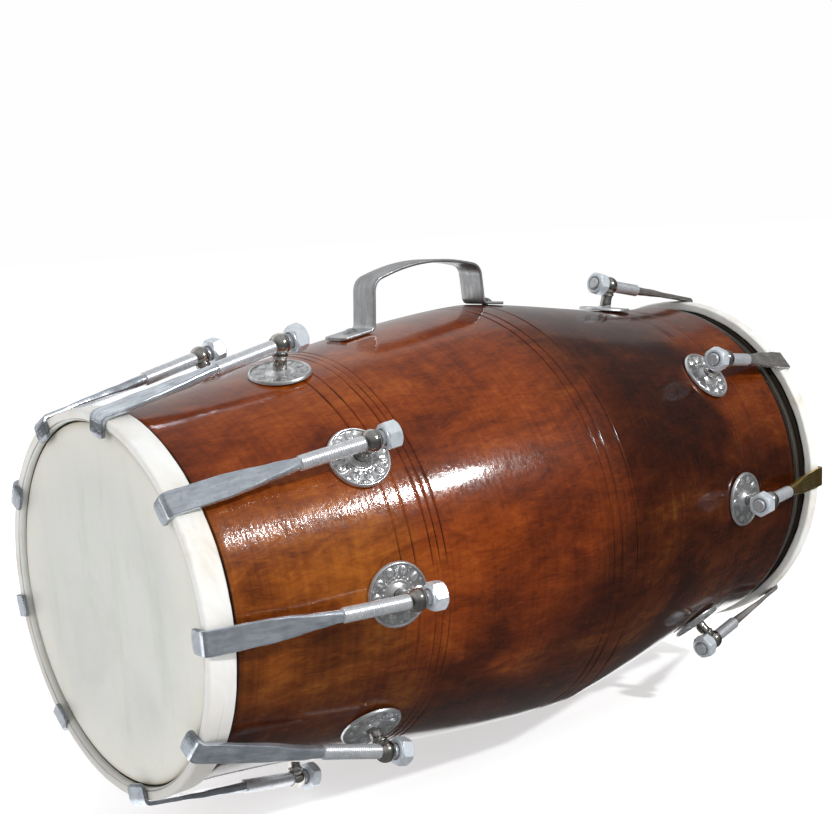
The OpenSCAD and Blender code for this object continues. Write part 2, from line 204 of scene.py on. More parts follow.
def lathe(profile, segments, axis_ends=False):
    """Turns (r, z) about z. A closed profile makes a ring; with axis_ends its first and last r are 0."""
    profile = np.asarray(profile, float)
    t = np.arange(segments) * 2 * math.pi / segments
    pts = profile[1:-1] if axis_ends else profile
    rings = np.stack([pts[:, 0:1] * np.cos(t), pts[:, 0:1] * np.sin(t), np.repeat(pts[:, 1:2], segments, 1)], -1)
    V, F = rings.reshape(-1, 3), grid(len(pts), segments, ring=not axis_ends)
    if axis_ends:
        V = np.concatenate([V, [[0, 0, profile[0, 1]], [0, 0, profile[-1, 1]]]])
        c, last = len(V) - 2, (len(pts) - 1) * segments
        F += [(j, (j + 1) % segments, c) for j in range(segments)]
        F += [(last + j, last + (j + 1) % segments, c + 1) for j in range(segments)]
    return V, F


def arc(cx, cz, r, a, b, n):
    """Points (x, z) on a circle from angle a to b in degrees."""
    t = np.radians(np.linspace(a, b, n))
    return [(cx + r * math.cos(u), cz + r * math.sin(u)) for u in t]


def drum(x, r, t):
    """World place of a point at distance x from the treble front, radius r and angle t."""
    return np.stack([x - L / 2, -r * np.cos(t), H + r * np.sin(t)], -1)


# ---------------------------------------------------------------- material helpers
class Mat:
    def __init__(self, name):
        self.m = bpy.data.materials.new(name)
        self.m.use_nodes = True
        self.t = self.m.node_tree
        self.t.nodes.clear()
        out = self.t.nodes.new("ShaderNodeOutputMaterial")
        self.b = self.t.nodes.new("ShaderNodeBsdfPrincipled")
        self.t.links.new(self.b.outputs[0], out.inputs[0])
        self.co = self.t.nodes.new("ShaderNodeTexCoord").outputs["Object"]

    def new(self, kind, **props):
        n = self.t.nodes.new(kind)
        for k, v in props.items():
            setattr(n, k, v)
        return n

    def put(self, socket, value):
        if isinstance(value, bpy.types.NodeSocket):
            self.t.links.new(value, socket)
        elif isinstance(value, (tuple, list)) and len(value) == 3 and socket.type == "RGBA":
            socket.default_value = (*value, 1)
        else:
            socket.default_value = value

    def set(self, **inputs):
        for k, v in inputs.items():
            self.put(self.b.inputs[k.replace("_", " ")], v)

    def attr(self, name, out="Vector"):
        return self.new("ShaderNodeAttribute", attribute_name=name).outputs[out]

    def scaled(self, vector, s):
        n = self.new("ShaderNodeVectorMath", operation="MULTIPLY")
        self.put(n.inputs[0], vector)
        n.inputs[1].default_value = s if isinstance(s, (tuple, list)) else (s, s, s)
        return n.outputs[0]

    def noise(self, vector, s, detail=3.0, rough=0.5, distort=0.0, out="Fac"):
        n = self.new("ShaderNodeTexNoise")
        self.put(n.inputs["Vector"], self.scaled(vector, s))
        n.inputs["Scale"].default_value = 1.0
        n.inputs["Detail"].default_value = detail
        n.inputs["Roughness"].default_value = rough
        n.inputs["Distortion"].default_value = distort
        return n.outputs[out]

    def cells(self, vector, s, feature="F1", out="Distance"):
        n = self.new("ShaderNodeTexVoronoi", feature=feature)
        self.put(n.inputs["Vector"], self.scaled(vector, s))
        n.inputs["Scale"].default_value = 1.0
        return n.outputs[out]

    def ramp(self, fac, stops, mode="LINEAR"):
        n = self.new("ShaderNodeValToRGB")
        n.color_ramp.interpolation = mode
        e = n.color_ramp.elements
        while len(e) > 1:
            e.remove(e[-1])
        for i, (p, c) in enumerate(stops):
            c = (c, c, c) if isinstance(c, (int, float)) else c
            item = e[0] if i == 0 else e.new(p)
            item.position = p
            item.color = (*c, 1)
        self.put(n.inputs[0], fac)
        return n.outputs[0]

    def band(self, value, a, b, lo=0.0, hi=1.0, smooth=True):
        n = self.new("ShaderNodeMapRange", interpolation_type="SMOOTHSTEP" if smooth else "LINEAR")
        self.put(n.inputs["Value"], value)
        n.inputs["From Min"].default_value, n.inputs["From Max"].default_value = a, b
        n.inputs["To Min"].default_value, n.inputs["To Max"].default_value = lo, hi
        return n.outputs[0]

    def math(self, op, a, b=0.0, c=0.0):
        n = self.new("ShaderNodeMath", operation=op)
        for i, v in enumerate((a, b, c)):
            self.put(n.inputs[i], v)
        return n.outputs[0]

    def mix(self, fac, a, b, blend="MIX"):
        n = self.new("ShaderNodeMix", data_type="RGBA", blend_type=blend)
        self.put(n.inputs["Factor"], fac)
        self.put(n.inputs["A"] if n.inputs["A"].type == "RGBA" else n.inputs[6], a)
        self.put(n.inputs["B"] if n.inputs["B"].type == "RGBA" else n.inputs[7], b)
        return n.outputs[2]

    def split(self, vector):
        n = self.new("ShaderNodeSeparateXYZ")
        self.put(n.inputs[0], vector)
        return n.outputs

    def bump(self, height, distance, strength=1.0, under=None):
        n = self.new("ShaderNodeBump")
        self.put(n.inputs["Height"], height)
        n.inputs["Distance"].default_value = distance
        n.inputs["Strength"].default_value = strength
        if under is not None:
            self.put(n.inputs["Normal"], under)
        return n.outputs[0]


# ---------------------------------------------------------------- materials
def wood_material():
    m = Mat("lacquered_wood")
    p = m.co
    x, y, z = m.split(p)
    groove = m.attr("mask", "Fac")
    # soft clouds in the stain, a faint curly figure, grain along the drum and turning marks round it
    patch = m.noise(p, (11, 17, 17), 3, 0.5, 0.9)
    figure = m.noise(p, (24, 64, 64), 4, 0.55, 1.3)
    curl = m.noise(p, (80, 210, 210), 3, 0.55, 2.0)
    fibre = m.noise(p, (90, 1300, 1300), 3, 0.6)
    turned = m.noise(p, (1500, 22, 22), 4, 0.7)
    turned2 = m.noise(p, (330, 9, 9), 3, 0.6)
    where = m.noise(p, (22, 30, 30), 2, 0.5)
    f = 0.5
    for n, w in ((patch, 0.60), (figure, 0.32), (curl, 0.24), (turned2, 0.16), (fibre, 0.10)):
        f = m.math("MULTIPLY_ADD", m.math("SUBTRACT", n, 0.5), w, f)
    amber = m.ramp(f, [(0.34, (0.100, 0.021, 0.003)), (0.44, (0.190, 0.047, 0.0055)), (0.53, (0.285, 0.080, 0.0090)),
                       (0.62, (0.370, 0.125, 0.017)), (0.72, (0.450, 0.185, 0.035))])
    russet = m.ramp(f, [(0.34, (0.065, 0.010, 0.0018)), (0.45, (0.125, 0.021, 0.0026)), (0.54, (0.190, 0.034, 0.0036)),
                        (0.66, (0.280, 0.064, 0.008))])
    deep = m.ramp(f, [(0.34, (0.012, 0.0028, 0.0014)), (0.47, (0.026, 0.0052, 0.0015)), (0.57, (0.050, 0.0105, 0.0020)),
                      (0.70, (0.108, 0.034, 0.0045))])
    # amber in front near the treble head, russet round the belly, and painted shade: much darker past the crease and
    # towards the bottom, a little less near the top at the bass end
    sway = m.math("SUBTRACT", patch, 0.5)
    left = m.band(m.math("MULTIPLY_ADD", sway, 0.16, x), -0.085, -0.150)
    left = m.math("MULTIPLY", left, m.math("MULTIPLY", m.band(z, 0.205, 0.170), m.band(z, 0.075, 0.118)))
    col = m.mix(left, russet, amber)
    sink = m.band(z, 0.165, 0.085, 0.0, 0.055)
    dark = m.band(m.math("ADD", m.math("MULTIPLY_ADD", sway, 0.10, x), sink), -0.016, 0.046)
    dark = m.math("MAXIMUM", dark, m.band(x, 0.0290, 0.0302, 0.0, 0.78))
    right = m.math("MULTIPLY", m.band(z, 0.15, 0.20), m.band(m.math("MULTIPLY_ADD", sway, 0.12, x), 0.105, 0.150))
    dark = m.math("MULTIPLY", dark, m.math("SUBTRACT", 1.0, m.math("MULTIPLY", right, 0.55)))
    # painted shade along the bottom of the barrel, reaching higher towards the treble end
    lift = m.band(x, -0.050, -0.130, 0.0, -0.026)
    low = m.band(m.math("ADD", m.math("MULTIPLY_ADD", sway, 0.05, z), lift), 0.118, 0.068, 0.0, 0.90)
    dark = m.math("MAXIMUM", m.math("MULTIPLY", dark, 0.95), low)
    col = m.mix(dark, col, deep)
    # fine turning scratches, dark and light, in patches
    scratch = m.band(turned, 0.60, 0.74)
    col = m.mix(m.math("MULTIPLY", scratch, m.band(where, 0.40, 0.64, 0.0, 0.50)), col, (0.045, 0.010, 0.003))
    light = m.band(turned, 0.36, 0.28)
    near = m.math("MAXIMUM", m.band(where, 0.52, 0.40, 0.0, 0.16), m.math("MULTIPLY", m.band(x, -0.02, 0.012), m.band(x, 0.034, 0.024, 0.0, 0.30)))
    col = m.mix(m.math("MULTIPLY", light, near), col, (0.52, 0.20, 0.05))
    # painted shade in the turned lines, more in some places than in others
    there = m.band(m.noise(p, (6, 24, 24), 2, 0.5), 0.44, 0.60, 0.30, 0.95)
    col = m.mix(m.math("MULTIPLY", m.band(groove, 0.25, 0.85), there), col, (0.020, 0.005, 0.0025))
    # near black over the rounded bass end
    col = m.mix(m.math("MULTIPLY", m.band(groove, 0.20, 0.60), m.band(x, 0.194, 0.198)), col, (0.010, 0.004, 0.002))
    m.set(Base_Color=col)
    m.set(Roughness=m.band(m.noise(p, (60, 60, 60), 4, 0.6), 0.3, 0.7, 0.32, 0.46))
    # the lacquer is speckled over the front half, so its shine breaks up there
    speckled = m.math("MULTIPLY", m.band(m.noise(p, (520, 300, 300), 3, 0.65), 0.43, 0.56, 0.0, 0.05), m.band(x, 0.045, 0.010))
    m.set(IOR=1.4, Coat_Weight=m.band(groove, 0.80, 1.0, 1.0, 0.20), Coat_IOR=1.37, Coat_Roughness=m.math("ADD", speckled, 0.095))
    m.b.inputs["Specular IOR Level"].default_value = 0.05
    h = m.math("MULTIPLY_ADD", turned, 0.5, m.math("MULTIPLY", m.noise(p, (300, 60, 60), 2, 0.5), 0.8))
    n = m.bump(h, 0.00003, 0.7)
    m.set(Normal=n)
    h2 = m.math("MULTIPLY_ADD", turned, 0.20, m.noise(p, (55, 70, 70), 2, 0.45))
    h2 = m.math("MULTIPLY_ADD", m.noise(p, (650, 450, 450), 2, 0.6), m.band(where, 0.42, 0.58, 0.30, 1.10), h2)
    m.put(m.b.inputs["Coat Normal"], m.bump(h2, 0.00012, 0.55))
    return m.m


def hide_material(name, tint, centre):
    m = Mat(name)
    p = m.co
    x, y, z = m.split(p)
    yy = m.math("POWER", y, 2.0)
    zz = m.math("POWER", m.math("SUBTRACT", z, H * MM), 2.0)
    r = m.math("SQRT", m.math("ADD", yy, zz))
    cloud = m.noise(p, (16, 16, 16), 5, 0.6, 0.7)
    smear = m.noise(p, (10, 42, 9), 4, 0.6, 0.5)
    fine = m.noise(p, (400, 400, 400), 4, 0.65)
    vein = m.cells(p, (60, 60, 60), "DISTANCE_TO_EDGE")
    base = m.ramp(cloud, [(0.30, tuple(0.90 * c for c in tint)), (0.52, tint), (0.72, tuple(min(1, 1.035 * c) for c in tint))])
    green = m.math("MULTIPLY", m.band(smear, 0.50, 0.70), 0.62)
    base = m.mix(green, base, tuple(c * k for c, k in zip(tint, (0.80, 0.87, 0.78))))
    rim = m.band(r, centre - 0.030, centre - 0.001)
    base = m.mix(m.math("MULTIPLY", rim, 0.55), base, (0.78, 0.75, 0.67))
    # painted shade where the head rolls over its edge into the gap by the hoop
    edge = m.band(r, centre + 0.0005, centre + 0.0045)
    base = m.mix(m.math("MULTIPLY", edge, 0.55), base, (0.50, 0.44, 0.34))
    speck = m.band(m.noise(p, (900, 900, 900), 1, 0.5), 0.70, 0.80, 0.0, 0.22)
    base = m.mix(speck, base, (0.45, 0.40, 0.32))
    # painted shade: the lap hidden in the gap by the hoop is coloured near black, and its shine is cut down too
    base = m.mix(m.math("MINIMUM", m.math("MULTIPLY", m.attr("mask", "Fac"), 1.1), 1.0), base, (0.010, 0.007, 0.005))
    m.set(Base_Color=base, Roughness=m.band(fine, 0.3, 0.7, 0.42, 0.60), IOR=1.45)
    m.set(Subsurface_Weight=0.12, Subsurface_Scale=0.004)
    m.put(m.b.inputs["Specular IOR Level"], m.band(m.attr("mask", "Fac"), 0.2, 1.0, 0.5, 0.06))
    m.b.inputs["Subsurface Radius"].default_value = (1.0, 0.7, 0.45)
    h = m.math("MULTIPLY_ADD", fine, 0.5, m.math("MULTIPLY", m.band(vein, 0.0, 0.12), 0.25))
    m.set(Normal=m.bump(h, 0.00006, 0.6))
    return m.m


def wrap_material():
    m = Mat("hide_wrap")
    p = m.co
    patch = m.noise(p, (38, 38, 38), 4, 0.6, 0.8)
    lines = m.noise(p, (1300, 26, 26), 4, 0.65)
    fine = m.noise(p, (500, 500, 500), 3, 0.6)
    z = m.split(p)[2]
    col = m.ramp(patch, [(0.28, (0.66, 0.61, 0.54)), (0.45, (0.76, 0.74, 0.70)), (0.62, (0.80, 0.79, 0.77)), (0.8, (0.84, 0.835, 0.825))])
    low = m.band(z, 0.16, 0.05, 0.10, 1.0)
    crack = m.math("MULTIPLY", m.band(lines, 0.58, 0.72), low)
    col = m.mix(m.math("MULTIPLY", crack, 0.62), col, (0.40, 0.34, 0.28))
    col = m.mix(m.band(fine, 0.60, 0.80, 0.0, 0.25), col, (0.60, 0.54, 0.47))
    # painted shade on the lower part of the treble hoop
    left = m.math("MULTIPLY", m.band(m.split(p)[0], 0.0, -0.1), m.band(z, 0.135, 0.055, 0.0, 0.75))
    col = m.mix(left, col, (0.52, 0.50, 0.475))
    # painted shade in the seam where the wrap is tucked in behind the lip
    col = m.mix(m.math("MULTIPLY", m.attr("mask", "Fac"), 0.90), col, (0.045, 0.038, 0.030))
    m.set(Base_Color=col, Roughness=m.band(patch, 0.3, 0.7, 0.48, 0.62), IOR=1.45)
    m.set(Subsurface_Weight=0.10, Subsurface_Scale=0.003)
    h = m.math("MULTIPLY_ADD", lines, 0.7, m.math("MULTIPLY", fine, 0.35))
    m.set(Normal=m.bump(h, 0.00014, 0.8))
    return m.m


def steel_material(name, dark, bright, rough=(0.22, 0.42), stretch=(260, 260, 60), bump=0.00004, spots=0.0, spot_col=(0.10, 0.08, 0.06), size=1.0, hammered=False, metal=1.0):
    """Steel in the piece's own frame: place is in millimetres, z along its length."""
    m = Mat(name)
    q = m.scaled(m.attr("place"), 0.001)
    brush = m.noise(q, stretch, 4, 0.6)
    cloud = m.noise(q, tuple(90 * size for _ in range(3)), 4, 0.6, 0.6)
    f = m.math("MULTIPLY_ADD", brush, 0.5, m.math("MULTIPLY", cloud, 0.5))
    col = m.ramp(f, [(0.34, dark), (0.5, tuple((a + b) / 2 for a, b in zip(dark, bright))), (0.64, bright)])
    if spots:
        s = m.band(m.noise(q, (700, 700, 700), 3, 0.6), 0.60, 0.72)
        col = m.mix(m.math("MULTIPLY", m.math("MULTIPLY", s, m.band(cloud, 0.45, 0.6)), spots), col, spot_col)
    # mask paints shade in hollows (thread roots, nut bores, washer ground, screw slots), the claws' dark reflection and
    # the handle's darker top
    mask = m.attr("mask", "Fac")
    col = m.mix(m.math("MULTIPLY", mask, 0.85), col, tuple(c * 0.22 for c in dark))
    m.set(Base_Color=col, Metallic=metal)
    m.set(Roughness=m.band(f, 0.35, 0.65, rough[1], rough[0]))
    n = m.bump(brush, bump, 0.7)
    if hammered:
        n = m.bump(m.noise(q, (170, 170, 120), 3, 0.6), 0.00045, 0.55, n)
    m.set(Normal=n)
    return m.m


def paste_material():
    m = Mat("tuning_paste")
    f = m.noise(m.co, (90, 90, 90), 5, 0.65, 0.5)
    m.set(Base_Color=m.ramp(f, [(0.3, (0.02, 0.015, 0.012)), (0.6, (0.06, 0.048, 0.04)), (0.8, (0.11, 0.09, 0.075))]))
    m.set(Roughness=m.band(f, 0.3, 0.7, 0.75, 0.95), Normal=m.bump(f, 0.0006, 0.7))
    return m.m


def core_material():
    """Dull, dirty steel of the hoops' cores, darkened further as painted shade: seen only as the dark inner wall of the
    hoops.
    """
    m = Mat("plain_steel")
    f = m.noise(m.co, (70, 240, 240), 5, 0.65, 0.4)
    m.set(Base_Color=m.ramp(f, [(0.3, (0.055, 0.048, 0.034)), (0.55, (0.13, 0.12, 0.09)), (0.75, (0.24, 0.21, 0.16))]))
    m.set(Metallic=0.85, Roughness=m.band(f, 0.3, 0.7, 0.60, 0.42), Normal=m.bump(f, 0.0001, 0.6))
    return m.m


WOOD = wood_material()
HIDE = [hide_material("treble_hide", (0.635, 0.640, 0.605), 0.086), hide_material("bass_hide", (0.62, 0.585, 0.49), 0.100)]
WRAP = wrap_material()
HOOK = steel_material("hook_steel", (0.36, 0.40, 0.45), (0.70, 0.76, 0.83), (0.15, 0.26), (420, 420, 90), 0.00005, 0.5, hammered=True, metal=0.78)
# the bass hooks get a darker copy of the hook steel: painted shade for the dark room they reflect
HOOK_SHADED = steel_material("hook_steel_shaded", (0.20, 0.185, 0.175), (0.46, 0.44, 0.42), (0.22, 0.36), (420, 420, 90), 0.00005, 0.6, hammered=True, metal=0.75)
BRASSY = steel_material("hook_brassy", (0.34, 0.22, 0.05), (0.72, 0.52, 0.16), (0.24, 0.40), (420, 420, 90), 0.00005, 0.4, hammered=True)
ROD = steel_material("rod_steel", (0.57, 0.60, 0.64), (0.88, 0.90, 0.93), (0.26, 0.38), (300, 300, 500), 0.00002, 0.28, metal=0.68)
NUT = steel_material("nut_steel", (0.60, 0.66, 0.73), (0.86, 0.92, 0.97), (0.28, 0.42), (300, 300, 300), 0.00003, 0.25, metal=0.50)
EYE = steel_material("eye_bolt_steel", (0.34, 0.325, 0.30), (0.66, 0.64, 0.61), (0.10, 0.20), (90, 90, 500), 0.00001, 0.3)
PLATE = steel_material("washer_plate", (0.58, 0.59, 0.60), (0.90, 0.91, 0.92), (0.24, 0.38), (200, 200, 200), 0.00003, 0.3, metal=0.88)
STRAP = steel_material("handle_strap", (0.38, 0.39, 0.40), (0.66, 0.67, 0.68), (0.28, 0.44), (60, 500, 60), 0.00004, 0.35, metal=0.85)
SCREW = steel_material("screw_steel", (0.30, 0.31, 0.32), (0.62, 0.63, 0.64), (0.26, 0.42), (300, 300, 300), 0.00003, 0.5)
CORE, PASTE = core_material(), paste_material()


def dress(ob, *mats):
    ob.data.materials.clear()
    for m in mats:
        ob.data.materials.append(m)


# ---------------------------------------------------------------- wooden shell
def make_shell():
    r1, r2 = HOOP_R[0] - STEP_IN, HOOP_R[1] - STEP_IN
    s1, s2 = RECESS + SKIN_T[0], L - RECESS - SKIN_T[1]
    cuts = LINES + [CREASE - 1]
    xs = set(np.round(np.arange(A + 1.2, B - 1.2, 2.4), 3)) | {CREASE}
    for c in cuts:
        xs |= set(np.round(c + np.array([-1.4, -1.0, -0.75, -0.55, -0.38, -0.22, 0, 0.22, 0.38, 0.55, 0.75, 1.0, 1.4]), 3))
    xs = sorted(xs)
    xs = [x for i, x in enumerate(xs) if i == 0 or x - xs[i - 1] > 0.1 or x in cuts]
    prof = [(s1, shell_r(A) - wall_at(A), 0, 0), (s1, r1 - 2.4, 0, 0), (s1 + 0.5, r1 - 0.8, 0, 0), (s1 + 1.8, r1, 0, 1), (A, r1, 0, 1)]
    prof += [(A, shell_r(A) - 1, 0, 1), (A + 0.3, shell_r(A) - 0.3, 0, 0.6)]
    first = len(prof)
    for x in xs:
        d = sum((0.42 if c > 300 else 0.55) * math.exp(-((x - c) / 0.46) ** 2) for c in cuts)
        # the bass end is rounded over, and its mask turns it near black in the wood's colour
        end = max(0.0, (x - (B - 7)) / 7)
        prof.append((x, shell_r(x) - 1.5 * end * end, d, max(0.0, min(1.0, (x - (B - 7.5)) / 4)) if x > B - 7.5 else 0))
    last = len(prof)
    prof += [(B - 0.3, shell_r(B) - 1.7, 0, 1), (B, shell_r(B) - 2.3, 0, 1)]
    prof += [(B, r2, 0, 1), (s2 - 1.8, r2, 0, 1), (s2 - 0.5, r2 - 0.8, 0, 0), (s2, r2 - 2.4, 0, 0), (s2, shell_r(B) - wall_at(B), 0, 0)]
    prof += [(x, shell_r(x) - wall_at(x), 0, 0) for x in np.linspace(B, A, 22)]
    prof = np.array(prof)
    n = 360
    t = np.arange(n) * 2 * math.pi / n
    X, T = np.meshgrid(prof[:, 0], t, indexing="ij")
    Rr = np.repeat(prof[:, 1:2], n, 1)
    P = drum(X, Rr, T).reshape(-1, 3)
    # the barrel is turned by hand, so it is never quite round, and its lines come out deeper here and there
    wob = 0.10 * wave(P, 3, 110, 2) + 0.035 * wave(P * [1, 0.2, 0.2], 4, 34, 2)
    deep = np.clip(0.72 + 0.55 * wave(P, 9, 80, 2), 0.25, 1.15)
    out = np.zeros(len(prof))
    out[first:last] = 1
    out = np.repeat(out, n)
    cut = np.repeat(prof[:, 2], n) * deep
    Rf = Rr.reshape(-1) + (wob - 0.12) * out - cut
    V = drum(X.reshape(-1), Rf, T.reshape(-1))
    b = Build()
    b.add(V, grid(len(prof), n, ring=True), mask=np.clip(np.maximum(cut / 0.5, np.repeat(prof[:, 3], n)), 0, 1))
    ob = b.object("shell_turned", 40)
    dress(ob, WOOD)
    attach(ob, "drum"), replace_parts(ob, "shell"), ob


# ---------------------------------------------------------------- heads and hoops
def end_place(e, V):
    """(x, y, z) with z in from the end, to world."""
    R, O = spot(e, 0)
    return V @ R.T + O


def make_head(e):
    t = SKIN_T[e]
    a = HOOP_R[e] - STEP_IN + 0.05
    b = a + t
    c = b + 1.2
    d = c + 1
    w, g = LAP_END[e], LAP_TOP[e]
    p = RECESS
    rr = np.concatenate([np.linspace(0, a - 8, 40)[:-1], np.linspace(a - 8, a - 1.6, 9)])
    prof = [(r, p) for r in rr]
    # the hide bulges towards the hoop where it is pulled down over the shell's edge
    prof += [(a - 0.8, p + 0.08), (b - 0.5, p + 0.24), (b + 0.4, p + 0.48), (b + 1.05, p + 0.85), (b + 1.4, p + 1.3), (b + 1.3, p + 1.7), (b + 0.7, p + 1.98), (b, p + 2.08),
             (b, w - 1), (c, w - 1), (c, g), (d, g), (d, w), (a, w), (a, p + t + 1.5), (a - 0.6, p + t + 0.4), (a - 2, p + t)]
    prof += [(r, p + t) for r in np.linspace(a - 2, 0, 12)[1:]]
    V, F = lathe(prof, 288, axis_ends=True)
    r = np.hypot(V[:, 0], V[:, 1])
    ang = np.arctan2(V[:, 1], V[:, 0])
    inside = np.clip((a - 1.0 - r) / 6, 0, 1) * (V[:, 2] < p + t + 0.01)
    dip = 0.16 * wave(V * [1, 1, 0], 21 + e, 60, 2) * inside
    # small tucks where the hide is pulled over the edge
    rng = np.random.default_rng(30 + e)
    pleat = sum(rng.random() * np.sin(ang * k + rng.random() * 6.3) for k in (23, 37, 51, 68, 83))
    near = np.exp(-((r - (a - 2.5)) / 3.0) ** 2) * (V[:, 2] < p + t + 0.5)
    V[:, 2] += dip + 0.045 * pleat * near
    bld = Build()
    # mask marks the lap over the shell's edge, which the hide material paints as shade
    bld.add(end_place(e, V), F, mask=np.clip((V[:, 2] - p - 1.75) / 0.3, 0, 1) * (r > a + 0.05))
    ob = bld.object(ENDS[e] + "_head_hide", 50)
    dress(ob, HIDE[e])
    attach(ob, "drum"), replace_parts(ob, ENDS[e] + "_skin"), ob


def make_wrap(e):
    r, w, k = HOOP_R[e], HOOP_W[e], CORNER
    inner = r - 5.5
    # a thin flap is turned in over the core's inner wall, behind a narrow seam
    prof = [(inner - 0.28, 4.3), (inner - 0.34, 3.4), (inner - 0.34, 2.4), (inner - 0.26, 1.6), (inner, 1.0 - 0.18), (inner + 0.35, 0.66), (inner + 0.6, 0.62), (inner + 0.85, 0.60), (inner + 1.1, 0.30), (inner + 1.8, 0.07)]
    prof += [(x, 0.0) for x in np.linspace(inner + 2.4, r - k, 4)]
    prof += arc(r - k, k, k, -90, 0, 9)[1:]
    prof += [(r, s) for s in np.linspace(k, w - k, 16)[1:-1]]
    prof += arc(r - k, w - k, k, 0, 90, 9)
    prof += [(x, w) for x in np.linspace(r - k, inner + 0.5, 5)[1:]]
    prof += [(inner + 0.1, w - 0.3), (inner, w - 0.8), (inner, w - 1), (r - 1, w - 1), (r - 1, 1), (inner - 0.04, 1), (inner - 0.04, 4.3)]
    n = 432
    prof = np.array(prof)
    V, F = lathe(prof, n)
    ring = np.stack([np.cos(np.arctan2(V[:, 1], V[:, 0])) * r, np.sin(np.arctan2(V[:, 1], V[:, 0])) * r, V[:, 2]], 1)
    rr, s = np.hypot(V[:, 0], V[:, 1]), V[:, 2].copy()
    outer = (rr > r - 0.9)
    front, back = (s < 0.99) & ~outer, (s > w - 0.99) & ~outer
    soft = wave(ring * [1, 1, 3], 40 + e, 16, 3) - 1
    rr = rr + outer * 0.10 * soft
    rr = rr + ((rr < inner + 0.8) & (rr > inner - 0.01) & back) * 0.28 * wave(ring * [1, 1, 0], 50 + e, 22, 3)
    s = s + (s > w - 1.6) * 0.22 * (wave(ring * [1, 1, 0], 60 + e, 30, 3) - 1) - (s < 1.6) * 0.07 * (wave(ring * [1, 1, 0], 61 + e, 18, 3) - 1)
    ang = np.arctan2(V[:, 1], V[:, 0])
    V = np.stack([rr * np.cos(ang), rr * np.sin(ang), s], 1)
    b = Build()
    # painted shade along the seam, stronger in places
    seam_shade = np.clip(1.35 - np.abs(prof[:, 0] - inner - 0.6) / 0.30, 0, 1) * (prof[:, 1] < 0.95)
    b.add(end_place(e, V), F, mask=np.repeat(seam_shade, n) * np.clip(0.75 + 0.5 * wave(ring * [1, 1, 0], 70 + e, 40, 3), 0.3, 1))
    ob = b.object(ENDS[e] + "_hide_wrap", 60)
    dress(ob, WRAP)
    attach(ob, "drum"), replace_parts(ob, ENDS[e] + "_hoop_wrap"), ob


# ---------------------------------------------------------------- hooks and nuts
def section(w, t, m=6, r=0.7):
    """A rounded box w wide (y) and t thick (x) as (x, y) points, 4 * m of them; round when w, t and r agree."""
    r = min(r, w / 2 - 0.01, t / 2 - 0.01)
    pts = []
    for cx, cy, a in ((t / 2 - r, w / 2 - r, 0), (-t / 2 + r, w / 2 - r, 90), (-t / 2 + r, -w / 2 + r, 180), (t / 2 - r, -w / 2 + r, 270)):
        pts += arc(cx, cy, r, a, a + 90, m)
    return np.array(pts)


